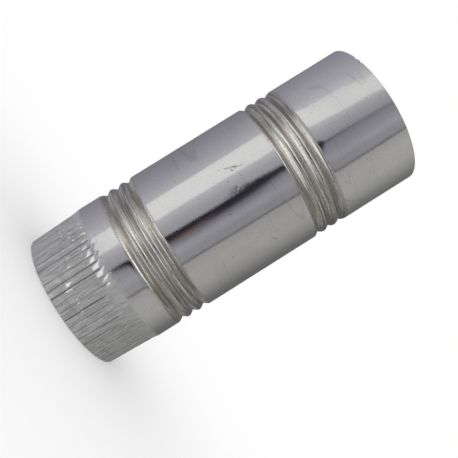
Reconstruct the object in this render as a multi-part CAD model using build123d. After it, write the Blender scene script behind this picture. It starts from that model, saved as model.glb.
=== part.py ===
from build123d import *
from math import atan, cos, degrees, radians, tan
import os

# A short section of stove pipe, rolled from one sheet of thin bright steel. It stands on its crimped end.
# The pipe's axis is +Z, and the origin is at the centre of the crimped rim. Sizes are in millimetres.

# Sheet and tube
outside_diameter = 100.0
sheet_thickness = 0.5
overall_length = 236.6

# Crimped end: a slightly tapered band of flat lands between sharp creases, under a conical shoulder
crimp_height = 36.0
rim_step_in = 2.3
crimp_taper = 2.5
shoulder_angle = 10.0
crimp_count = 60
crease_width = 1.6
crease_depth = 1.0

# Bead groups: one near each end, each of rolled grooves with narrow ridges left between them
bead_setback = 64.6
bead_count = 3
bead_pitch = 8.2
groove_width = 5.9
groove_depth = 2.3

# Lock seam along the back, folded flat on the outside and notched off above the shoulder
seam_width = 7.0
seam_height = 1.0
seam_notch = 4.0

# Derived sizes
outside_radius = outside_diameter / 2
inside_radius = outside_radius - sheet_thickness
rim_radius = outside_radius - rim_step_in
seam_bottom = crimp_height + seam_notch
bead_group_middles = [bead_setback, overall_length - bead_setback]

# Slope of a groove's sides, and the distance straight in from its root to the inside of the sheet
flank_angle = atan(2 * groove_depth / groove_width)
groove_wall = sheet_thickness / cos(flank_angle)

# Slope of a crease's sides, and the distance straight in from its root to the inside of the sheet
crease_slope = atan(2 * crease_depth / crease_width)
crease_wall = sheet_thickness / cos(crease_slope)

# A radius that lies inside every crease, where the shoulder's cone ends within the crimped band
hidden_radius = rim_radius - crease_depth - 2 * crease_wall


def groove_heights(group_middle):
    """Heights of a bead group's grooves, from the lowest up."""
    lowest = group_middle - (bead_count - 1) / 2 * bead_pitch
    return [lowest + i * bead_pitch for i in range(bead_count)]


def beaded_wall(radius, root):
    """Profile of a wall of this radius through both bead groups, from the lowest groove up."""
    reach = (radius - root) / tan(flank_angle)
    points = []
    for middle in bead_group_middles:
        for height in groove_heights(middle):
            points += [(radius, height - reach), (root, height), (radius, height + reach)]
    return points


def bar_above_crimps(radius, root, shoulder_height, top):
    """A beaded bar from its shoulder up. The shoulder's cone runs down until the crimped band hides it."""
    foot_height = shoulder_height - (radius - hidden_radius) / tan(radians(shoulder_angle))
    foot = [(0, foot_height), (hidden_radius, foot_height), (radius, shoulder_height)]
    profile = Polyline(*foot, *beaded_wall(radius, root), (radius, top), (0, top), close=True)
    return revolve(Plane.XZ * make_face(profile), Axis.Z)


def outer_tube():
    """Everything inside the pipe's outer surface above the crimps."""
    return bar_above_crimps(outside_radius, outside_radius - groove_depth, crimp_height, overall_length)


def inner_tube():
    """The pipe's hollow above the crimps. Each groove stands into it as a ridge."""
    shoulder_height = crimp_height + sheet_thickness * tan(radians(shoulder_angle) / 2)
    crest = outside_radius - groove_depth - groove_wall
    return bar_above_crimps(inside_radius, crest, shoulder_height, overall_length + sheet_thickness)


def fluted_bar(inset, start):
    """A tapered bar with a flat for each land and a crease between flats, inset from the crimped surface."""
    grow = tan(radians(crimp_taper))
    land = rim_radius - inset + start * grow
    edge = land - crease_depth - inset * (1 / cos(crease_slope) - 1)
    outline = RegularPolygon(land, crimp_count, major_radius=False, rotation=180 / crimp_count)
    bar = extrude(Plane.XY.offset(start) * outline, crimp_height - start, taper=-crimp_taper)
    back = outside_radius
    half_width = (back - edge) / tan(crease_slope)
    corners = [(edge, 0), (back, -half_width), (back, half_width)]
    section = Plane.XY.offset(start) * make_face(Polyline(*corners, close=True))
    crease = extrude(section, 2 * crimp_height, dir=(grow, 0, 1))
    return bar - [place * crease for place in PolarLocations(0, crimp_count, start_angle=180 / crimp_count)]


def lock_seam():
    """The seam's raised strip on the back of the pipe. It follows the beads and ends level with the plain rim."""
    proud = outside_radius + seam_height
    buried = outside_radius - sheet_thickness / 2
    outer = [(proud, seam_bottom), *beaded_wall(proud, proud - groove_depth), (proud, overall_length)]
    inner = [(buried, seam_bottom), *beaded_wall(buried, buried - groove_depth), (buried, overall_length)]
    turn = degrees(seam_width / outside_radius)
    profile = Polyline(*outer, *reversed(inner), close=True)
    strip = revolve(Plane.XZ * make_face(profile), Axis.Z, revolution_arc=turn)
    return Rot(Z=90 - turn / 2) * strip


outside = outer_tube() + fluted_bar(0, 0)
hollow = inner_tube() + fluted_bar(sheet_thickness, -sheet_thickness)
pipe_wall = outside - hollow + lock_seam()

os.makedirs("parts", exist_ok=True)
export_step(pipe_wall, "parts/pipe_wall.step")
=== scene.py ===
from math import cos, pi, radians, sin, tan

import bpy
import numpy as np
from mathutils import Matrix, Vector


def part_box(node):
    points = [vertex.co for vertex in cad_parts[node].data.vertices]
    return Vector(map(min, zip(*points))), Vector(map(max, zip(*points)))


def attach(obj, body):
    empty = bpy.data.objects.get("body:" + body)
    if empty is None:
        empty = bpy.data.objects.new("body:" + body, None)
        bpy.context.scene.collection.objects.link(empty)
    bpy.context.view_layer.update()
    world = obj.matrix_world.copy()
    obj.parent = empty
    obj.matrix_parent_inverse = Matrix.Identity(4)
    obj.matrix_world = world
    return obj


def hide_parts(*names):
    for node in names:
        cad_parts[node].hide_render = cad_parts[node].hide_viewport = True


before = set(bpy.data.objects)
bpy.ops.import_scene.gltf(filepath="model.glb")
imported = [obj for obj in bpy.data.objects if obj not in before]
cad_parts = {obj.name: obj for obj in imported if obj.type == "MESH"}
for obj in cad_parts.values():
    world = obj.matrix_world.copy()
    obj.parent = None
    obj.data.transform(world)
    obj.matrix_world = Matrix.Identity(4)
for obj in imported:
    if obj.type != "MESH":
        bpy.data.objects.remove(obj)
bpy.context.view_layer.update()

# A short stove pipe of bright sheet steel. It stands on its crimped end, on the origin, with its axis up +Z.
# Sizes of the pipe are in millimetres, and those of the stage round it in metres. An angle round the pipe is
# in degrees: 0 faces -Y, and 90 faces +X.
MM = 0.001

# Sheet, set a little inside the solid so that its waves stay within it
INSET = 0.1
RIM_DROP = 0.08
high_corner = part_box("pipe_wall")[1]
LENGTH = high_corner[2] / MM
RADIUS = high_corner[0] / MM - INSET
THICKNESS = 0.5

# Slow waves of the rolled sheet: how many go round, their least and greatest length, and where they set in
WAVE_DEPTH = 0.09
WAVE_COUNTS = (3, 5, 7, 9, 12)
WAVE_LENGTHS = (25, 110)
WAVES_START = (0, 12)

# Crimped end: flat lands between creases, which rise into a conical shoulder
FLUTES = 60
FLUTE_ANGLE = 360 / FLUTES
FIRST_CREASE = FLUTE_ANGLE / 2
RIM_RADIUS = 47.7
LAND_TAPER = tan(radians(2.5))
SHOULDER_TOP = 36.2
SHOULDER_SLOPE = tan(radians(10))
SHOULDER_FOOT_ROUNDING = 0.22
SHOULDER_TOP_ROUNDING = 0.3
SHOULDER_PILLOW = 0.2
PILLOW_REACH = 3.0

# The shoulder's edge slants across each land: fully on the left of the front, and at random elsewhere
SHOULDER_SLANT = 1.5
SLANT_SPREAD = (-0.3, 0.4)
SLANTED_FROM = (-42, -30)
SLANTED_TO = (2, 10)

# Creases: depth, reach to either side, how far they stray, and the height of their tips above the floor
CREASE_DEPTH = 0.7
CREASE_STRENGTH = (0.4, 1.05)
CREASE_REACH_BEFORE = 0.5
CREASE_REACH_AFTER = 0.75
CREASE_SHIFT = 0.3
CREASE_LEAN = 0.012
CREASE_KINK = 0.45
KINK_REACH = 1.2
TIP_HEIGHT = (0.05, 0.45)
TIP_LAND_SHARE = 0.4

# Tops of the creases. On the right of the front they end lower, spread more and fade more slowly.
CREASE_TOP = 37.2
EARLY_FROM = (0, 14)
EARLY_TO = (80, 110)
EARLY_DROP = 5.5
CREASE_TOP_SPREAD = (0.5, 2.5)
CREASE_FADE = (2.4, 6.0)

# Lands: where they run out, how much lower their dull look does, and how they are tilted, crowned, folded,
# crumpled and lipped
LAND_TOP = (30.5, 36.0)
CRIMP_LOOK_DROP = 2
LAND_TILT = 0.14
LAND_CROWN = (-0.05, 0.03)
LAND_FOLD = 0.2
FOLD_REACH = 0.25
LAND_CRUMPLE = 0.06
LIP_HEIGHT = 0.07
LIP_SHARE = 0.16
LIP_REACH = 0.07

# Line of the crimper's jaw marks: on a slope near the front, and on a slow wave elsewhere
JAW_FRONT_MIDDLE = -4
JAW_FRONT_HALF = 16
JAW_FRONT_HEIGHT = 13.6
JAW_FRONT_SLOPE = 0.144
JAW_HEIGHT = 20.8
JAW_WAVE = 1.2
JAW_WAVE_COUNT = 5

# Pips raised by the jaws, one on a land. They are strong on two stretches, given by angle and half width.
PIP_HEIGHT = 0.4
PIP_LENGTH = 0.8
PIP_REACH = 0.1
PIP_COLUMNS = [3, 5]
PIP_RISE = 0.8
PIP_STRENGTH = (0.6, 1)
PIP_FAINT = 0.25
PIP_STRETCHES = [(-40, 20), (-3, 12)]

# Burrs raised along the lands: angle, height, half length
BURRS = [
    (-49.0, 27.6, 1.1), (-45.0, 26.4, 1.3), (-40.0, 28.4, 1.0),
    (-17.5, 17.2, 1.4), (-12.0, 14.4, 2.4), (-8.0, 11.6, 2.6),
]
BURR_HEIGHT = 0.2
BURR_HALF_WIDTH = 0.55

# Bead groups: grooves with round roots, and round ridges between them. The lower group is given first.
GROUP_SETBACK = 64.6
GROUP_MIDDLES = (GROUP_SETBACK, LENGTH - GROUP_SETBACK)
GROUP_LEAN = (0.25, 0.45)
LEAN_FADE = (14, 28)
GROOVES_PER_GROUP = 3
PITCH = 8.2
GROOVE_WIDTH = 5.9
GROOVE_DEPTH = 2.3
ROOT_ROUNDING = 0.5
RIDGE_ROUNDING = 0.85
END_SIDE_ROUNDING = 1.4
MIDDLE_SIDE_ROUNDING = 0.45
GRIME_ON = (-2.0, -0.7)
GRIME_OFF = (1.5, 2.4)
BEAD_ZONE = (11.6, 12.8)

# Lock seam up the back: its half widths, and the place and reach of the slit beside it, are in degrees
SEAM_ANGLE = 180.0
SEAM_HEIGHT = 0.95
SEAM_FULL = 3.8
SEAM_FOOT = 4.45
SEAM_SLIT = 5.25
SEAM_SLIT_REACH = 0.4
SEAM_SLIT_DEPTH = 0.25
SEAM_BOTTOM = (40.0, 40.35)
SEAM_BEAD_SHARE = 0.9

# Shallow knocks in the sheet: angle, height, half width round the pipe, half height, depth
DENTS = [
    (8.0, 37.4, 0.9, 1.6, 0.08),
    (-52.0, 44.0, 6.0, 5.0, 0.04),
    (27.0, 92.0, 9.0, 10.0, 0.04),
    (-18.0, 104.0, 8.0, 14.0, 0.045),
    (38.0, 211.0, 10.0, 9.0, 0.05),
    (130.0, 120.0, 9.0, 12.0, 0.06),
    (-125.0, 205.0, 10.0, 8.0, 0.06),
    (100.0, 200.0, 7.0, 11.0, 0.05),
]

# Nicks in the plain rim: angle, half width in degrees, depth
NICKS = [(-45.0, 0.8, 0.7), (-38.6, 0.8, 0.6), (112.0, 0.9, 0.5)]

# Columns of the mesh, as shares of a flute from crease to crease: crowded at the creases, even above them
COLUMN_SHARES = np.array([0, 0.07, 0.16, 0.30, 0.5, 0.70, 0.86, 0.94])
EVEN_SHARES = np.arange(len(COLUMN_SHARES)) / len(COLUMN_SHARES)
COLUMNS_TURN_EVEN = (36.5, 41.0)
COLUMNS = FLUTES * len(COLUMN_SHARES)

# Rows of the mesh: stretches of from, to and step, single rows, and distances from the middle of each groove
OUTER_STRETCHES = [(0, 9, 1.3), (9, 24, 0.85), (24, 30, 1.1), (30, 39.6, 0.75)]
OUTER_ROWS = [*SEAM_BOTTOM, 43, 46.5, 50, *np.linspace(80, 156, 10), *np.linspace(189, 235.8, 8)]
OUTER_GROOVE_ROWS = (0, 0.45, 1.8, 2.2, 2.6, 3.0, 3.5)
INNER_STRETCHES = [(0, 29, 4.0)]
INNER_ROWS = [31, 34, 37, 46, 90, 118, 146, 200, 225]
INNER_GROOVE_ROWS = (0, 2.2)
GROUP_EDGE = 0.6
SHARP_ANGLE = 38

rng = np.random.default_rng(11)


def smoothstep(low, high, x):
    t = np.clip((x - low) / (high - low), 0, 1)
    return t * t * (3 - 2 * t)


def smooth_max(a, b, reach):
    """The larger of a and b, rounded where they cross."""
    h = np.clip(reach - np.abs(a - b), 0, None) / reach
    return np.maximum(a, b) + h * h * reach / 4


def smooth_min(a, b, reach):
    return -smooth_max(-a, -b, reach)


def bump(x, half_width):
    return np.exp(-((x / half_width) ** 2))


def part_way(ends, share):
    return ends[0] + (ends[1] - ends[0]) * share


def turn_between(a, b):
    """Signed angle from b to a, in degrees."""
    return (a - b + 180) % 360 - 180


def groove_heights():
    first = -(GROOVES_PER_GROUP - 1) / 2 * PITCH
    return [m + first + i * PITCH for m in GROUP_MIDDLES for i in range(GROOVES_PER_GROUP)]


def from_groove(height):
    """Distance from the nearest groove, counted towards the middle of the pipe's length."""
    offsets = np.array([height - g for g in groove_heights()])
    nearest = np.argmin(np.abs(offsets), axis=0)
    offset = np.take_along_axis(offsets, nearest[None], axis=0)[0]
    return np.where(height < LENGTH / 2, offset, -offset)


def from_group(height):
    return np.min([np.abs(height - m) for m in GROUP_MIDDLES], axis=0)


def bead_depth(height):
    """Depth of the rolled beads: straight-sided grooves with round roots, and round ridges between them."""
    slope = 2 * GROOVE_DEPTH / GROOVE_WIDTH
    root = ROOT_ROUNDING / 2
    offset = from_groove(height)
    flank = GROOVE_DEPTH + slope * (root - np.sqrt(offset**2 + root**2))
    outer_rounding = np.where(offset > 0, MIDDLE_SIDE_ROUNDING, END_SIDE_ROUNDING)
    return smooth_max(flank, 0 * flank, np.where(from_group(height) > PITCH, outer_rounding, RIDGE_ROUNDING))


def bead_lean(angle, height):
    """How far the beads run out of square: a little lower at +X than at -X."""
    shift = 0
    for middle, lean in zip(GROUP_MIDDLES, GROUP_LEAN):
        near = 1 - smoothstep(*LEAN_FADE, np.abs(height - middle))
        shift = shift - lean * near * np.sin(np.radians(angle))
    return shift


def bead_grime(height):
    """Dirt left by the beading rolls, in the grooves and on their sides towards the middle of the pipe."""
    offset = from_groove(height)
    return smoothstep(*GRIME_ON, offset) * (1 - smoothstep(*GRIME_OFF, offset))


def jaw_mark_height(angle):
    """Height of the crimper's jaw marks, which step down where one bite of the tool follows another."""
    front = JAW_FRONT_HEIGHT - JAW_FRONT_SLOPE * angle
    elsewhere = JAW_HEIGHT + JAW_WAVE * np.sin(np.radians(JAW_WAVE_COUNT * angle))
    return np.where(np.abs(angle - JAW_FRONT_MIDDLE) < JAW_FRONT_HALF, front, elsewhere)


class Creases:
    """Where each crease of the crimped end runs. They wander and differ, as a hand crimper leaves them."""

    def __init__(self):
        facing = turn_between(FIRST_CREASE + FLUTE_ANGLE * np.arange(FLUTES), 0)
        early = smoothstep(*EARLY_FROM, facing) * (1 - smoothstep(*EARLY_TO, facing))
        self.shift = rng.uniform(-CREASE_SHIFT, CREASE_SHIFT, FLUTES)
        self.lean = rng.uniform(-CREASE_LEAN, CREASE_LEAN, FLUTES)
        self.kink = rng.uniform(-CREASE_KINK, CREASE_KINK, FLUTES)
        self.strength = rng.uniform(*CREASE_STRENGTH, FLUTES)
        spread = part_way(CREASE_TOP_SPREAD, early) * rng.uniform(-1, 1, FLUTES)
        self.top = CREASE_TOP - EARLY_DROP * early + spread
        self.fade = part_way(CREASE_FADE, early)
        self.tip = rng.uniform(*TIP_HEIGHT, FLUTES)
        self.jaw = jaw_mark_height(facing)

    def angle(self, index, height):
        i = index % FLUTES
        kink = self.kink[i] * smoothstep(-KINK_REACH, KINK_REACH, height - self.jaw[i])
        return FIRST_CREASE + FLUTE_ANGLE * index + self.shift[i] + self.lean[i] * height + kink

    def depth(self, index, height):
        i = index % FLUTES
        return CREASE_DEPTH * self.strength[i] * (1 - smoothstep(-self.fade[i], 0, height - self.top[i]))


class Lands:
    """The flats between the creases: tilt and crown, a fold in some, a jaw mark and a slanted shoulder."""

    def __init__(self):
        self.middle = turn_between(FIRST_CREASE + FLUTE_ANGLE * (np.arange(FLUTES) + 0.5), 0)
        slanted = smoothstep(*SLANTED_FROM, self.middle) * (1 - smoothstep(*SLANTED_TO, self.middle))
        marked = np.any([np.abs(self.middle - m) < half for m, half in PIP_STRETCHES], axis=0)
        self.tilt = LAND_TILT * rng.uniform(-1, 1, FLUTES)
        self.crown = rng.uniform(*LAND_CROWN, FLUTES)
        self.fold = LAND_FOLD * np.clip(rng.uniform(-1, 1, FLUTES), 0, None)
        self.pip = rng.uniform(*PIP_STRENGTH, FLUTES) * np.where(marked, 1, PIP_FAINT)
        self.pip_share = rng.choice(COLUMN_SHARES[PIP_COLUMNS], FLUTES)
        self.pip_rise = rng.uniform(-PIP_RISE, PIP_RISE, FLUTES)
        self.slant = SHOULDER_SLANT * (slanted + (1 - slanted) * rng.uniform(*SLANT_SPREAD, FLUTES))

    def height(self, index, share):
        i = index % FLUTES
        across = 2 * share - 1
        fold = self.fold[i] * bump(across, FOLD_REACH)
        face = self.crown[i] * (1 - across**2) + self.tilt[i] * across - fold
        lips = bump(share - LIP_SHARE, LIP_REACH) + bump(1 - share - LIP_SHARE, LIP_REACH)
        return face + LIP_HEIGHT * lips

    def pips(self, index, share, level):
        """1 at the middle of a strong jaw mark, and 0 away from the marks."""
        i = index % FLUTES
        along = level - jaw_mark_height(self.middle[i]) - self.pip_rise[i]
        return self.pip[i] * bump(share - self.pip_share[i], PIP_REACH) * bump(along, PIP_LENGTH)


creases = Creases()
lands = Lands()

# Waves of the sheet: how many go round, length up the pipe, and where each starts round the pipe and up it
WAVES = [
    (count, rng.uniform(*WAVE_LENGTHS), rng.uniform(0, 2 * pi), rng.uniform(0, 2 * pi))
    for count in WAVE_COUNTS
]


def sheet_waves(angle, height):
    """Slow unevenness of the rolled sheet."""
    turn = np.radians(angle)
    total = 0
    for count, length, start_round, start_up in WAVES:
        upward = np.cos(2 * pi * height / length + start_up)
        total = total + np.cos(count * turn + start_round) * upward / count
    return WAVE_DEPTH * total


def burrs(angle, height):
    """1 along the top of a burr, and 0 away from the burrs."""
    rise = 0 * height
    for middle, level, half_length in BURRS:
        across = np.radians(turn_between(angle, middle)) * RIM_RADIUS
        rise = np.maximum(rise, bump(across, BURR_HALF_WIDTH) * bump(height - level, half_length))
    return rise


def crumple(shape):
    """Small random unevenness, evened out a little from row to row."""
    rough = rng.normal(0, 1, shape)
    return (np.roll(rough, 1, axis=0) + rough + np.roll(rough, -1, axis=0)) / 3


def dents(angle, height):
    depth = 0
    for middle, level, half_width, half_height, most in DENTS:
        across = np.radians(turn_between(angle, middle)) * RADIUS
        depth = depth + most * bump(across, half_width) * bump(height - level, half_height)
    return depth


def seam_profile(angle):
    """Height of the lock seam's fold, and 1 where it lies."""
    away = turn_between(angle, SEAM_ANGLE)
    fold = 1 - np.clip((np.abs(away) - SEAM_FULL) / (SEAM_FOOT - SEAM_FULL), 0, 1)
    return SEAM_HEIGHT * fold - SEAM_SLIT_DEPTH * bump(away - SEAM_SLIT, SEAM_SLIT_REACH), fold


def column_angles(flute, share, even_share, level):
    """Angle of each point: between the creases in the crimped band, and evenly spaced above it."""
    before = creases.angle(flute, level)
    after = creases.angle(flute + 1, level)
    crimped = before + share * (after - before)
    even = FIRST_CREASE + FLUTE_ANGLE * (flute + even_share)
    return crimped + (even - crimped) * smoothstep(*COLUMNS_TURN_EVEN, level)


def crimped_body(flute, share, level, pip, burr):
    """Radius of the lands, of the shoulder that they rise into, and of the tube above it."""
    face = lands.height(flute, share) + LAND_CRUMPLE * crumple(level.shape) + PIP_HEIGHT * pip
    land = RIM_RADIUS + LAND_TAPER * level + (1 - smoothstep(*LAND_TOP, level)) * face
    across = 2 * share - 1
    slant = lands.slant[flute % FLUTES] * across
    pillow = SHOULDER_PILLOW * across**2 * bump(level - LAND_TOP[1], PILLOW_REACH)
    cone = RADIUS - SHOULDER_SLOPE * (SHOULDER_TOP - slant - level) - pillow
    body = smooth_max(land + BURR_HEIGHT * burr, cone, SHOULDER_FOOT_ROUNDING)
    return smooth_min(body, RADIUS + 0 * level, SHOULDER_TOP_ROUNDING)


def sheet_grid(heights, outside):
    """Points and surface marks of one side of the sheet, row by row up the pipe."""
    flute, column = np.divmod(np.arange(COLUMNS), len(COLUMN_SHARES))
    share = COLUMN_SHARES[column]
    level = heights[:, None] + np.zeros(COLUMNS)
    angle = column_angles(flute, share, EVEN_SHARES[column], level)

    # Crimped band: the lands, less the nearest crease
    nearest = flute + (share > 0.5)
    reach = np.where(share > 0.5, CREASE_REACH_BEFORE, CREASE_REACH_AFTER)
    away = np.minimum(share, 1 - share) * RIM_RADIUS * radians(FLUTE_ANGLE)
    vee = np.clip(1 - away / reach, 0, 1)
    crease = creases.depth(nearest, level) * vee
    pip = lands.pips(flute, share, level)
    burr = burrs(angle, level)
    body = crimped_body(flute, share, level, pip, burr)

    # Beads, lock seam, waves and knocks
    fold_height, fold = seam_profile(angle)
    fold_rise = np.clip((level - SEAM_BOTTOM[0]) / (SEAM_BOTTOM[1] - SEAM_BOTTOM[0]), 0, 1)
    beads = bead_depth(level) * (1 - (1 - SEAM_BEAD_SHARE) * fold)
    uneven = sheet_waves(angle, level) * smoothstep(*WAVES_START, level) - dents(angle, level)
    radius = body - crease - beads + uneven
    radius = radius + fold_height * fold_rise if outside else radius - THICKNESS

    # Cut ends: uneven tips on the crimps, and nicks in the plain rim
    z = level + bead_lean(angle, level)
    z[0] = creases.tip[nearest % FLUTES] * part_way((TIP_LAND_SHARE, 1), vee)
    for middle, half_width, depth in NICKS:
        z[-1] -= depth * (np.abs(turn_between(angle[-1], middle)) < half_width)

    turn = np.radians(angle)
    points = np.stack([radius * np.sin(turn), -radius * np.cos(turn), z], axis=-1) * MM
    marks = {
        "grime": bead_grime(level),
        "bead": 1 - smoothstep(*BEAD_ZONE, from_group(level)),
        "crimp": 1 - smoothstep(*LAND_TOP, level + CRIMP_LOOK_DROP),
        # Crease depth, from which the material paints shade into the creases
        "crease": crease / CREASE_DEPTH,
        # Tops of the pips and burrs, which the material paints as near-white highlights
        "pip_and_burr_highlight": np.maximum(pip, burr),
    }
    return points, marks


def group_rows(offsets):
    """Rows at these distances from each groove, on top of each ridge, and just outside each group."""
    rows = [g + side * o for g in groove_heights() for o in offsets for side in (-1, 1)]
    half_group = PITCH * GROOVES_PER_GROUP / 2
    edges = (PITCH / 2, half_group, half_group + GROUP_EDGE)
    return rows + [m + side * edge for m in GROUP_MIDDLES for edge in edges for side in (-1, 1)]


def sheet_rows(stretches, single_rows, groove_rows):
    """Heights of one side's rows, from the crimped rim up to the plain one."""
    crimps = [row for stretch in stretches for row in np.arange(*stretch)]
    rows = [*crimps, *single_rows, *group_rows(groove_rows), LENGTH - RIM_DROP]
    return np.array(sorted({round(float(row), 3) for row in rows}))


def grid_faces(rows, first, flip):
    """Quads between rows of points that run all the way round."""
    i, j = np.meshgrid(np.arange(rows - 1), np.arange(COLUMNS), indexing="ij")
    right = (j + 1) % COLUMNS
    corners = [i * COLUMNS + j, i * COLUMNS + right, (i + 1) * COLUMNS + right, (i + 1) * COLUMNS + j]
    faces = np.stack(corners, axis=-1).reshape(-1, 4) + first
    return faces[:, ::-1] if flip else faces


def rim_faces(outer_first, inner_first, flip):
    """Quads across the cut edge of the sheet."""
    j = np.arange(COLUMNS)
    right = (j + 1) % COLUMNS
    faces = np.stack([inner_first + j, inner_first + right, outer_first + right, outer_first + j], axis=-1)
    return faces[:, ::-1] if flip else faces


def add_object(name, mesh):
    made = bpy.data.objects.new(name, mesh)
    bpy.context.scene.collection.objects.link(made)
    return made


def make_sheet():
    """The whole pipe as one closed mesh: outside, inside and both cut edges."""
    outer_rows = sheet_rows(OUTER_STRETCHES, OUTER_ROWS, OUTER_GROOVE_ROWS)
    inner_rows = sheet_rows(INNER_STRETCHES, INNER_ROWS, INNER_GROOVE_ROWS)
    outer, outer_marks = sheet_grid(outer_rows, outside=True)
    inner, inner_marks = sheet_grid(inner_rows, outside=False)
    points = np.concatenate([outer.reshape(-1, 3), inner.reshape(-1, 3)])
    inner_first = len(outer_rows) * COLUMNS
    outer_last_row = inner_first - COLUMNS
    inner_last_row = len(points) - COLUMNS
    faces = np.concatenate([
        grid_faces(len(outer_rows), 0, flip=False),
        grid_faces(len(inner_rows), inner_first, flip=True),
        rim_faces(0, inner_first, flip=False),
        rim_faces(outer_last_row, inner_last_row, flip=True),
    ])
    mesh = bpy.data.meshes.new("pipe_sheet")
    mesh.from_pydata(points.tolist(), [], faces.tolist())
    for name in outer_marks:
        values = np.concatenate([outer_marks[name].ravel(), inner_marks[name].ravel()])
        mesh.attributes.new(name, "FLOAT", "POINT").data.foreach_set("value", values.astype(np.float32))
    mesh.polygons.foreach_set("use_smooth", np.ones(len(faces), bool))
    mesh.set_sharp_from_angle(angle=radians(SHARP_ANGLE))
    mesh.update()
    return add_object("pipe_sheet", mesh)


class Graph:
    """Short ways to add one material's nodes. A value is a number, a colour or another node's output."""

    def __init__(self, material):
        material.use_nodes = True
        self.tree = material.node_tree
        self.tree.nodes.clear()

    def node(self, kind, **settings):
        made = self.tree.nodes.new(kind)
        for name, value in settings.items():
            setattr(made, name, value)
        return made

    def put(self, socket, value):
        if isinstance(value, bpy.types.NodeSocket):
            self.tree.links.new(value, socket)
        else:
            socket.default_value = value

    def fill(self, made, *values):
        """Puts these values in the node's first sockets."""
        for socket, value in zip(made.inputs, values):
            self.put(socket, value)
        return made

    def math(self, operation, *values, clamp=False):
        made = self.node("ShaderNodeMath", operation=operation, use_clamp=clamp)
        return self.fill(made, *values).outputs[0]

    def times(self, a, b):
        return self.math("MULTIPLY", a, b)

    def weighted(self, base, *terms):
        """The base plus each term's value times its weight."""
        for value, weight in terms:
            base = self.math("MULTIPLY_ADD", value, weight, base)
        return base

    def largest(self, values):
        most = values[0]
        for value in values[1:]:
            most = self.math("MAXIMUM", most, value)
        return most

    def vector(self, operation, *values):
        made = self.fill(self.node("ShaderNodeVectorMath", operation=operation), *values)
        return made.outputs["Value" if operation in ("DOT_PRODUCT", "LENGTH") else "Vector"]

    def scaled(self, vector, factor):
        made = self.node("ShaderNodeVectorMath", operation="SCALE")
        self.put(made.inputs["Vector"], vector)
        self.put(made.inputs["Scale"], factor)
        return made.outputs["Vector"]

    def ramp(self, value, low, high, to_low=0.0, to_high=1.0):
        """Goes smoothly from to_low to to_high while the value goes from low to high."""
        made = self.node("ShaderNodeMapRange", interpolation_type="SMOOTHSTEP")
        return self.fill(made, value, low, high, to_low, to_high).outputs[0]

    def grain(self, place, waves_round, waves_along, detail, roughness):
        """Noise from 0 to 1, with this many waves in a millimetre round the pipe and along it."""
        made = self.node("ShaderNodeTexNoise")
        stretched = self.vector("MULTIPLY", place, (waves_round, waves_round, waves_along))
        self.put(made.inputs["Vector"], stretched)
        self.put(made.inputs["Scale"], 1.0)
        self.put(made.inputs["Detail"], detail)
        self.put(made.inputs["Roughness"], roughness)
        return made.outputs["Fac"]

    def mix(self, share, a, b):
        made = self.node("ShaderNodeMix", data_type="RGBA")
        for socket, value in zip((made.inputs[0], made.inputs[6], made.inputs[7]), (share, a, b)):
            self.put(socket, value)
        return made.outputs[2]

    def attribute(self, name, output="Fac"):
        return self.node("ShaderNodeAttribute", attribute_name=name).outputs[output]

    def show(self, surface):
        output = self.node("ShaderNodeOutputMaterial")
        self.put(output.inputs["Surface"], surface)


# Scratches and specks: angle and height of each end, and half width, of which the core is full
MARK_CORE = 0.25
MARKS = [
    (-23.0, 128.6, -20.6, 131.4, 0.5),
    (-22.2, 131.0, -19.6, 135.2, 0.55),
    (-20.4, 134.0, -18.4, 138.8, 0.45),
    (-18.9, 131.6, -18.0, 133.0, 0.35),
    (-24.3, 124.8, -24.0, 125.4, 0.3),
    (-13.5, 126.0, -13.2, 126.5, 0.5),
    (-12.2, 134.8, -12.0, 135.2, 0.45),
    (6.2, 115.6, 7.0, 118.0, 0.25),
    (35.2, 104.6, 35.6, 105.6, 0.45),
    (39.2, 132.2, 41.4, 133.2, 0.3),
    (41.4, 133.2, 43.2, 134.4, 0.35),
    (31.6, 124.0, 32.2, 124.6, 0.3),
    (47.4, 184.0, 53.0, 188.4, 0.28),
    (53.0, 188.4, 58.0, 193.6, 0.26),
    (58.0, 193.6, 63.0, 198.0, 0.22),
    (28.4, 191.8, 35.6, 190.4, 0.22),
    (31.0, 188.0, 34.0, 189.6, 0.2),
    (24.6, 206.4, 35.4, 205.0, 0.22),
    (35.4, 205.0, 49.0, 201.7, 0.22),
    (-59.4, 203.8, -59.2, 204.4, 0.4),
    (-46.2, 234.9, -44.2, 235.7, 0.5),
    (-39.6, 235.1, -38.0, 235.9, 0.45),
    (31.0, 170.2, 31.8, 171.0, 0.6),
    (-59.8, 47.8, -59.4, 48.3, 0.35),
    (150.0, 96.0, 143.0, 101.0, 0.3),
    (-140.0, 128.0, -136.0, 133.0, 0.35),
    (108.0, 214.0, 109.0, 215.0, 0.4),
]

# Smudges: angle, height, half width round the pipe, half height, of which the core is full
SMUDGE_CORE = 0.3
SMUDGES = [(-5.6, 127.5, 3.6, 6.5), (-4.6, 133.0, 2.6, 5.5), (-20.0, 133.5, 2.2, 3.6)]

# Grain of the finish: waves in a millimetre round the pipe and along it, then detail and its roughness
STREAKS = (0.05, 1.9, 3.0, 0.6)
FINE_LINES = (0.16, 5.0, 2.0, 0.6)
BEAD_RINGS = (0.02, 1.3, 2.0, 0.65)
LENGTHWISE = (1.5, 0.09, 2.0, 0.6)
HAZE = (0.035, 0.035, 3.0, 0.55)
MOTTLE = (0.8, 0.8, 2.0, 0.6)
PATCHES = (0.06, 0.2, 2.0, 0.5)
CONTOURS = (0.006, 0.06, 0.0, 0.5)
HAIRLINE_HALF = 0.012
RELIEF_STRENGTH = 0.45
RELIEF_DEPTH = 0.04
BASE_ROUGHNESS = 0.03

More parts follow.
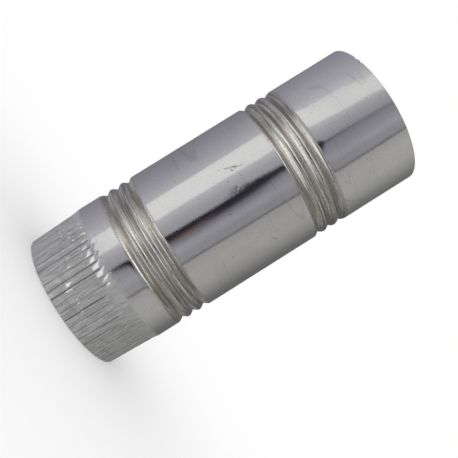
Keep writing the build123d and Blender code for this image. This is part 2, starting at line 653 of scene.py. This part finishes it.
# Colours of the bright sheet and of the coats on it
BRIGHT = (0.72, 0.72, 0.725, 1)
HAZED = (0.60, 0.60, 0.615, 1)
BEAD_DULL = (0.60, 0.588, 0.545, 1)
OLIVE = (0.45, 0.43, 0.375, 1)
RUSTY = (0.40, 0.34, 0.285, 1)
BEAD_LINE = (0.30, 0.29, 0.265, 1)
# Dark dirt streaks along the crimps, and the painted shade in the creases
DIRT_AND_CREASE_SHADE = (0.26, 0.255, 0.245, 1)
# Bright rubbed lines on the crimps and beads, and the painted highlights on the pips and burrs
RUBBED_AND_HIGHLIGHT = (0.95, 0.95, 0.94, 1)
MARK_DARK = (0.22, 0.22, 0.225, 1)


def on_sheet(angle, height):
    turn = radians(angle)
    return np.array([RADIUS * sin(turn), -RADIUS * cos(turn), height])


def scratch(graph, place, start, end, half_width):
    """1 along a straight scratch, and 0 away from it."""
    run = end - start
    from_start = graph.vector("SUBTRACT", place, tuple(start))
    along = graph.vector("DOT_PRODUCT", from_start, tuple(run / (run @ run)))
    reached = graph.scaled(tuple(run), graph.math("MULTIPLY", along, 1.0, clamp=True))
    away = graph.vector("LENGTH", graph.vector("SUBTRACT", from_start, reached))
    return graph.ramp(away, MARK_CORE * half_width, half_width, 1.0, 0.0)


def smudge(graph, place, middle, half_width, half_height):
    """1 in the middle of a smudge, fading to 0 at its edge."""
    away = graph.vector("SUBTRACT", place, tuple(middle))
    share = graph.vector("MULTIPLY", away, (1 / half_width, 1 / half_width, 1 / half_height))
    return graph.ramp(graph.vector("LENGTH", share), SMUDGE_CORE, 1.0, 1.0, 0.0)


class Finish:
    """What the sheet's finish is made of, each from 0 to about 1: its grain, its dirt and its marks, with
    the creases for painted shade and the pips and burrs for painted highlights.
    """

    def __init__(self, graph):
        place = graph.scaled(graph.node("ShaderNodeTexCoord").outputs["Object"], 1 / MM)
        self.streaks = graph.grain(place, *STREAKS)
        self.fine = graph.grain(place, *FINE_LINES)
        self.rings = graph.grain(place, *BEAD_RINGS)
        self.lengthwise = graph.grain(place, *LENGTHWISE)
        self.haze = graph.grain(place, *HAZE)
        self.mottle = graph.grain(place, *MOTTLE)
        self.patches = graph.grain(place, *PATCHES)

        self.crimp = graph.attribute("crimp")
        self.crease = graph.attribute("crease")
        self.bead = graph.attribute("bead")
        # Where the pips and burrs get their painted near-white highlights
        self.pip_and_burr_highlight = graph.ramp(graph.attribute("pip_and_burr_highlight"), 0.25, 0.7)
        ragged = graph.weighted(graph.attribute("grime"), (self.fine, 0.9), (self.mottle, 0.5))
        self.grime = graph.ramp(ragged, 0.95, 1.55)

        contour = graph.math("ABSOLUTE", graph.math("SUBTRACT", graph.grain(place, *CONTOURS), 0.5))
        hairline = graph.ramp(contour, 0.0, HAIRLINE_HALF, 1.0, 0.0)
        self.hairline = graph.times(hairline, graph.ramp(self.haze, 0.47, 0.54))
        scratches = [scratch(graph, place, on_sheet(*m[:2]), on_sheet(*m[2:4]), m[4]) for m in MARKS]
        self.scratch = graph.times(graph.largest(scratches), graph.ramp(self.mottle, 0.3, 0.46))
        smudges = [smudge(graph, place, on_sheet(*s[:2]), *s[2:]) for s in SMUDGES]
        self.smudge = graph.times(graph.largest(smudges), graph.ramp(self.mottle, 0.38, 0.58))


def sheet_colour(graph, finish):
    """Coats of colour over the bright sheet, in order: how much of each shows, and its colour."""
    dirt = graph.mix(graph.ramp(finish.patches, 0.5, 0.7), OLIVE, RUSTY)
    coats = [
        (graph.ramp(finish.haze, 0.4, 0.75, 0.0, 0.4), HAZED),
        (graph.ramp(finish.streaks, 0.5, 0.8, 0.0, 0.3), HAZED),
        (graph.ramp(finish.mottle, 0.58, 0.74, 0.0, 0.25), MARK_DARK),
        (graph.times(finish.hairline, 0.2), MARK_DARK),
        (graph.times(finish.crimp, graph.ramp(finish.lengthwise, 0.36, 0.55, 0.4, 0.0)), DIRT_AND_CREASE_SHADE),
        (graph.times(finish.crimp, graph.ramp(finish.lengthwise, 0.55, 0.7, 0.0, 0.6)), RUBBED_AND_HIGHLIGHT),
        (graph.times(finish.bead, 0.9), BEAD_DULL),
        (graph.times(finish.grime, 0.85), dirt),
        (graph.times(finish.bead, graph.ramp(finish.rings, 0.5, 0.6, 0.0, 0.85)), BEAD_LINE),
        (graph.times(finish.bead, graph.ramp(finish.rings, 0.34, 0.44, 0.6, 0.0)), RUBBED_AND_HIGHLIGHT),
        (graph.times(finish.bead, graph.ramp(finish.mottle, 0.5, 0.64, 0.0, 0.5)), BEAD_LINE),
        # Painted shade in the creases, darker where they are deeper
        (graph.ramp(finish.crease, 0.1, 0.7, 0.0, 0.55), DIRT_AND_CREASE_SHADE),
        # Painted highlights on the pips and burrs
        (finish.pip_and_burr_highlight, RUBBED_AND_HIGHLIGHT),
        (graph.times(finish.smudge, 0.7), MARK_DARK),
        (graph.times(finish.scratch, 0.75), MARK_DARK),
    ]
    colour = BRIGHT
    for share, coat in coats:
        colour = graph.mix(share, colour, coat)
    return colour


def sheet_roughness(graph, finish):
    grain = [(finish.streaks, 0.06), (finish.haze, 0.04), (finish.crimp, 0.05), (finish.bead, 0.02)]
    return graph.weighted(BASE_ROUGHNESS, *grain, (finish.grime, 0.1), (finish.scratch, 0.3))


def sheet_relief(graph, finish):
    """Normals of the fine lines, of the mottle and of the sunk scratches."""
    relief = graph.weighted(0.0, (finish.mottle, 0.6), (finish.fine, 0.5), (finish.scratch, -1.0))
    made = graph.node("ShaderNodeBump")
    graph.put(made.inputs["Strength"], RELIEF_STRENGTH)
    graph.put(made.inputs["Distance"], RELIEF_DEPTH * MM)
    graph.put(made.inputs["Height"], relief)
    return made.outputs["Normal"]


def sheet_material():
    """Bright rolled sheet steel: fine lines round the pipe, dull crimps, dirt in the grooves, painted shade
    in the creases and painted near-white highlights on the pips and burrs.
    """
    material = bpy.data.materials.new("bright_sheet")
    graph = Graph(material)
    finish = Finish(graph)
    shader = graph.node("ShaderNodeBsdfPrincipled")
    # The painted highlights on the pips and burrs lose most of their metal, so that they show near-white
    graph.put(shader.inputs["Metallic"], graph.weighted(1.0, (finish.grime, -0.08), (finish.pip_and_burr_highlight, -0.6)))
    graph.put(shader.inputs["Base Color"], sheet_colour(graph, finish))
    graph.put(shader.inputs["Roughness"], sheet_roughness(graph, finish))
    graph.put(shader.inputs["Normal"], sheet_relief(graph, finish))
    graph.show(shader.outputs["BSDF"])
    return material


pipe = make_sheet()
pipe.data.materials.append(sheet_material())
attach(pipe, "root")
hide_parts("pipe_wall")

# Studio: a white world and floor, with curved cards round the stage that only show in the metal
WALL_RADIUS = 2.0
CARD_GAP = 0.02
FRONT_RADIUS = WALL_RADIUS - CARD_GAP
PATCH_RADIUS = WALL_RADIUS - 2 * CARD_GAP
CARD_STEPS = 48
FLOOR_RADIUS = 30.0
FLOOR_WHITE = (0.995, 0.995, 0.995, 1)
DISC_CORNERS = 96
END_LIGHT = 0.3

# Heights between the rings of cards, from the lowest up
BOTTOM, SKIRT, BANDS, TOP, CEILING = -10.0, -1.6, -0.36, 1.3, 7.5

# What a light's red, green and blue gain as it turns a little olive, or a little violet
OLIVE_SHIFT = (1 / 3, 0.0, -1.0)
VIOLET_SHIFT = (0.4, 0.0, 2.0)


def stage_material(name, kind, colour=None):
    """A material of one shader, in this colour or in the glow that its mesh carries."""
    material = bpy.data.materials.new(name)
    graph = Graph(material)
    shader = graph.node(kind)
    graph.put(shader.inputs["Color"], colour or graph.attribute("glow", "Color"))
    graph.show(shader.outputs[0])
    return material


def show_in_reflections_only(thing):
    for ray in ("camera", "diffuse", "transmission", "volume_scatter", "shadow"):
        setattr(thing, "visible_" + ray, False)


def grey(level, warmth=0.0):
    """A level of light: a little olive where warmth is above 0, and a little violet where it is below."""
    shift = OLIVE_SHIFT if warmth > 0 else VIOLET_SHIFT
    return tuple(level * (1 + abs(warmth) * change) for change in shift)


def tones(*rows):
    """Lights from rows of place, level and warmth."""
    return [(place, grey(*light)) for place, *light in rows]


card_glow = stage_material("card_glow", "ShaderNodeEmission")


def card(name, edges, lights, gains=None, radius=WALL_RADIUS):
    """A curved upright card that only shows in reflections. edges has rows of height, left and right angle,
    lights has rows of share across and light, and gains has how bright each row of edges is."""
    across = np.linspace(0, 1, CARD_STEPS + 1)
    wide = len(across)
    shares = [share for share, light in lights]
    levels = np.array([np.interp(across, shares, [light[c] for share, light in lights]) for c in range(3)])
    points, glows = [], []
    for (height, left, right), gain in zip(edges, gains or [1.0] * len(edges)):
        turn = np.radians(left + (right - left) * across)
        points += zip(radius * np.sin(turn), -radius * np.cos(turn), np.full(wide, height))
        glows += zip(*(gain * levels), np.ones(wide))
    corners = [row * wide + column for row in range(len(edges) - 1) for column in range(CARD_STEPS)]
    faces = [(i, i + 1, i + 1 + wide, i + wide) for i in corners]
    mesh = bpy.data.meshes.new(name)
    mesh.from_pydata([tuple(map(float, p)) for p in points], [], faces)
    layer = mesh.color_attributes.new("glow", "FLOAT_COLOR", "POINT")
    layer.data.foreach_set("color", np.array(glows, np.float32).ravel())
    mesh.materials.append(card_glow)
    made = add_object(name, mesh)
    show_in_reflections_only(made)


def upright(low, high, left, right):
    return [(low, left, right), (high, left, right)]


def ring(name, low, high, lights):
    """A card all the way round. lights has rows of angle and light."""
    card(name, upright(low, high, -180, 180), [((angle + 180) / 360, light) for angle, light in lights])


# Edges between the walls, and how bright the walls are, at each of these heights
LEVELS = (BANDS, 0.14, 0.45, 0.70, 0.85, 1.06, TOP)
WALL_GAIN = (1.14, 1.0, 1.02, 1.15, 1.17, 1.15, 1.1)
FRONT_LEFT_GAIN = (1.0, 1.0, 1.0, 0.97, 0.94, 0.93, 0.93)
FRONT_RIGHT_GAIN = (1.2, 1.0, 1.0, 1.04, 1.06, 1.07, 1.05)
RIGHT_GAIN = (1.04, 1.0, 1.02, 1.07, 1.09, 1.08, 1.05)
RIGHT_END = (165.0, 165.0, 166.0, 171.0, 172.0, 172.0, 172.0)
STRIP_GAIN = (0.98, 1.0, 0.98, 0.96, 0.92, 0.9, 0.9)
STRIP_LEFT = (-66.2, -66.0, -66.0, -63.8, -61.0, -49.5, -46.0)
STRIP_RIGHT = (-35.8, -35.6, -32.8, -31.8, -28.8, -24.0, -22.0)
FLAG_LINE = (-7.5, -4.5, -3.0, -2.2, -1.4, 0.0, 0.0)
CORNER = (39.0, 40.4, 42.3, 43.9, 43.9, 43.9, 43.9)
CORNER_HALF = 1.7
CORNER_LEFT = [angle - CORNER_HALF for angle in CORNER]
CORNER_RIGHT = [angle + CORNER_HALF for angle in CORNER]


def same(angle):
    return (angle,) * len(LEVELS)


BACK_LEFT = same(-165.0)
BACK_RIGHT = same(195.0)
BACK_STRIP_LEFT = same(173.5)
BACK_STRIP_RIGHT = same(186.5)


def wall(name, lefts, rights, lights, gains=None):
    """A card from edge to edge, over all of LEVELS. lights has rows of share across, level and warmth."""
    card(name, list(zip(LEVELS, lefts, rights)), tones(*lights), gains)


wall("wall_left", BACK_LEFT, STRIP_LEFT, [
    (0, 0.21, -0.065), (0.2, 0.245, -0.065), (0.53, 0.32, -0.06), (0.82, 0.43, -0.04), (1, 0.55, -0.03),
], WALL_GAIN)
wall("bright_strip", STRIP_LEFT, STRIP_RIGHT, [
    (0, 0.86, 0.01), (0.5, 0.90, 0.02), (1, 0.87, 0.01),
], STRIP_GAIN)
wall("wall_front_left", STRIP_RIGHT, FLAG_LINE, [
    (0, 0.60, -0.02), (0.45, 0.45, -0.03), (0.73, 0.40, -0.03), (1, 0.33, -0.04),
], FRONT_LEFT_GAIN)
wall("wall_front_right", FLAG_LINE, CORNER_LEFT, [
    (0, 0.20, -0.05), (0.1, 0.25, -0.05), (0.25, 0.29, -0.05), (0.42, 0.33, -0.045),
    (0.57, 0.38, -0.045), (0.77, 0.315, -0.04), (1, 0.31, -0.04),
], FRONT_RIGHT_GAIN)
wall("wall_corner", CORNER_LEFT, CORNER_RIGHT, [
    (0, 0.29, -0.02), (0.35, 0.11, -0.02), (0.6, 0.13), (1, 0.36, 0.03),
])
wall("wall_right", CORNER_RIGHT, RIGHT_END, [
    (0, 0.39, 0.04), (0.15, 0.45, 0.045), (0.34, 0.43, 0.035), (0.45, 0.365, 0.03),
    (0.55, 0.295, 0.03), (0.65, 0.22, 0.02), (0.76, 0.165), (1, 0.14),
], RIGHT_GAIN)
wall("wall_back_right", RIGHT_END, BACK_STRIP_LEFT, [(0, 0.14), (1, 0.3)])
wall("back_strip", BACK_STRIP_LEFT, BACK_STRIP_RIGHT, [(0, 0.8), (1, 0.8)])
wall("wall_back_left", BACK_STRIP_RIGHT, BACK_RIGHT, [(0, 0.3), (1, 0.20, -0.1)])

# The skirt has pale and dim panels by turns, which bring out the flutes: angle and level of light
SKIRT_PANELS = 20
SKIRT_CONTRAST = 0.12
SKIRT_WARMTH = 0.0002
SKIRT_LIGHTS = [
    (-180, 0.23), (-144, 0.40), (-72, 0.48), (0, 0.46), (36, 0.44), (72, 0.38), (130, 0.30), (180, 0.23),
]
skirt_angles = np.linspace(-180, 180, SKIRT_PANELS + 1)
skirt_turns = 1 + SKIRT_CONTRAST * (-1) ** np.arange(SKIRT_PANELS + 1)
skirt_levels = np.interp(skirt_angles, *zip(*SKIRT_LIGHTS)) * skirt_turns
ring("skirt", SKIRT, BANDS, tones(*zip(skirt_angles, skirt_levels, SKIRT_WARMTH * skirt_angles)))

# Walls above and below the rest: angle, level and warmth of light
OUTER_LIGHTS = tones(
    (-180, 0.14), (-130, 0.20, -0.04), (-90, 0.42, -0.03), (-68, 0.66), (-56, 0.86), (-40, 0.78),
    (-28, 0.55), (-20, 0.42, -0.02), (0, 0.34, -0.02), (15, 0.34), (43, 0.40, 0.04), (85, 0.34, 0.05),
    (127, 0.15, 0.05), (180, 0.13),
)
ring("wall_high", TOP, CEILING, OUTER_LIGHTS)
ring("wall_low", BOTTOM, SKIRT, OUTER_LIGHTS)

# Soft boxes in front of the walls: high and low across the front, and a short one over the skirt's foot
BOX_LEFT, BOX_RIGHT = -100.0, 60.0
HIGH_BOX_TOP = 2.5
LOW_BOX_BOTTOM = -3.6
FOOT_BOX_BOTTOM, FOOT_BOX_TOP = -2.0, -0.86
FOOT_BOX_LEFT, FOOT_BOX_RIGHT = -78.0, -8.0
BOX_LIGHTS = tones(
    (0, 0.42), (0.1, 0.55), (0.22, 0.95), (0.3, 1.3), (0.6, 1.35), (0.7, 1.2), (0.9, 0.72), (1, 0.42),
)
FOOT_LIGHTS = tones((0, 0.6), (0.2, 1.08), (0.8, 1.05), (1, 0.6))
high_box = upright(TOP, HIGH_BOX_TOP, BOX_LEFT, BOX_RIGHT)
low_box = upright(LOW_BOX_BOTTOM, FOOT_BOX_BOTTOM, BOX_LEFT, BOX_RIGHT)
foot_box = upright(FOOT_BOX_BOTTOM, FOOT_BOX_TOP, FOOT_BOX_LEFT, FOOT_BOX_RIGHT)
card("soft_box_high", high_box, BOX_LIGHTS, radius=FRONT_RADIUS)
card("soft_box_low", low_box, BOX_LIGHTS, radius=FRONT_RADIUS)
card("soft_box_foot", foot_box, FOOT_LIGHTS, radius=FRONT_RADIUS)

# Dark flag behind the camera, with a warm patch low on it: height, left angle, right angle
FLAG = [
    (-0.36, -8.6, -6.5), (-0.29, -9.5, -1.0), (-0.13, -8.6, 6.0), (0.0, -8.3, 13.0), (0.10, -7.2, 13.0),
    (0.19, -6.0, 13.0), (0.27, -6.2, 13.5), (0.33, -11.0, 14.5), (0.38, -11.5, 14.0), (0.44, -8.6, 10.0),
    (0.58, -5.5, 2.0), (0.64, -3.6, -0.8), (0.73, -3.0, -1.0), (0.96, -1.2, -0.5),
]
FLAG_LIGHTS = tones(
    (0, 0.02, -0.15), (0.42, 0.03, -0.15), (0.54, 0.05, -0.1), (0.66, 0.14, -0.06), (0.8, 0.22, -0.05),
    (1, 0.28, -0.05),
)
WARM_PATCH = [(-0.05, 1.5, 4.0), (0.0, -1.5, 9.5), (0.06, -1.0, 8.0), (0.12, 0.0, 2.5)]
WARM_LIGHTS = [
    (0, (0.06, 0.035, 0.04)), (0.35, (0.15, 0.085, 0.085)),
    (0.7, (0.2, 0.15, 0.155)), (1, (0.25, 0.23, 0.25)),
]
card("dark_flag", FLAG, FLAG_LIGHTS, radius=FRONT_RADIUS)
card("warm_patch", WARM_PATCH, WARM_LIGHTS, radius=PATCH_RADIUS)


def flat_disc(name, height, radius, material):
    turn = np.linspace(0, 2 * pi, DISC_CORNERS, endpoint=False)
    points = [(radius * cos(t), radius * sin(t), height) for t in turn]
    mesh = bpy.data.meshes.new(name)
    mesh.from_pydata(points, [], [tuple(range(DISC_CORNERS))])
    mesh.materials.append(material)
    made = add_object(name, mesh)
    return made


floor_white = stage_material("floor_white", "ShaderNodeBsdfDiffuse", FLOOR_WHITE)
floor = flat_disc("floor", 0.0, FLOOR_RADIUS, floor_white)
floor.visible_glossy = False

for name, height in (("ceiling", CEILING), ("underside", BOTTOM)):
    end_glow = stage_material(name + "_glow", "ShaderNodeEmission", (*grey(END_LIGHT), 1))
    show_in_reflections_only(flat_disc(name, height, WALL_RADIUS, end_glow))

world = bpy.data.worlds.new("white_world")
world.use_nodes = True
world.node_tree.nodes["Background"].inputs["Color"].default_value = (1, 1, 1, 1)
world.node_tree.nodes["Background"].inputs["Strength"].default_value = 1.0
world.cycles.sampling_method = "NONE"
bpy.context.scene.world = world

# Camera: close to the pipe, level with its lower half and rolled, as in the photograph
CAMERA_PLACE = (0.0, -0.3861, 0.0990)
CAMERA_PAN = radians(-2.15)
CAMERA_TILT = radians(2.18)
CAMERA_ROLL = radians(-57.93)
IMAGE_SIZE = 458
FOCAL_PIXELS = 566.5

camera_data = bpy.data.cameras.new("camera")
camera_data.sensor_width = 36.0
camera_data.lens = camera_data.sensor_width * FOCAL_PIXELS / IMAGE_SIZE
camera_data.clip_start = 0.01
camera = add_object("camera", camera_data)
camera.matrix_world = (
    Matrix.Translation(CAMERA_PLACE)
    @ Matrix.Rotation(CAMERA_PAN, 4, "Z")
    @ Matrix.Rotation(CAMERA_TILT + pi / 2, 4, "X")
    @ Matrix.Rotation(-CAMERA_ROLL, 4, "Z")
)
bpy.context.scene.camera = camera
bpy.context.scene.view_settings.view_transform = "Standard"
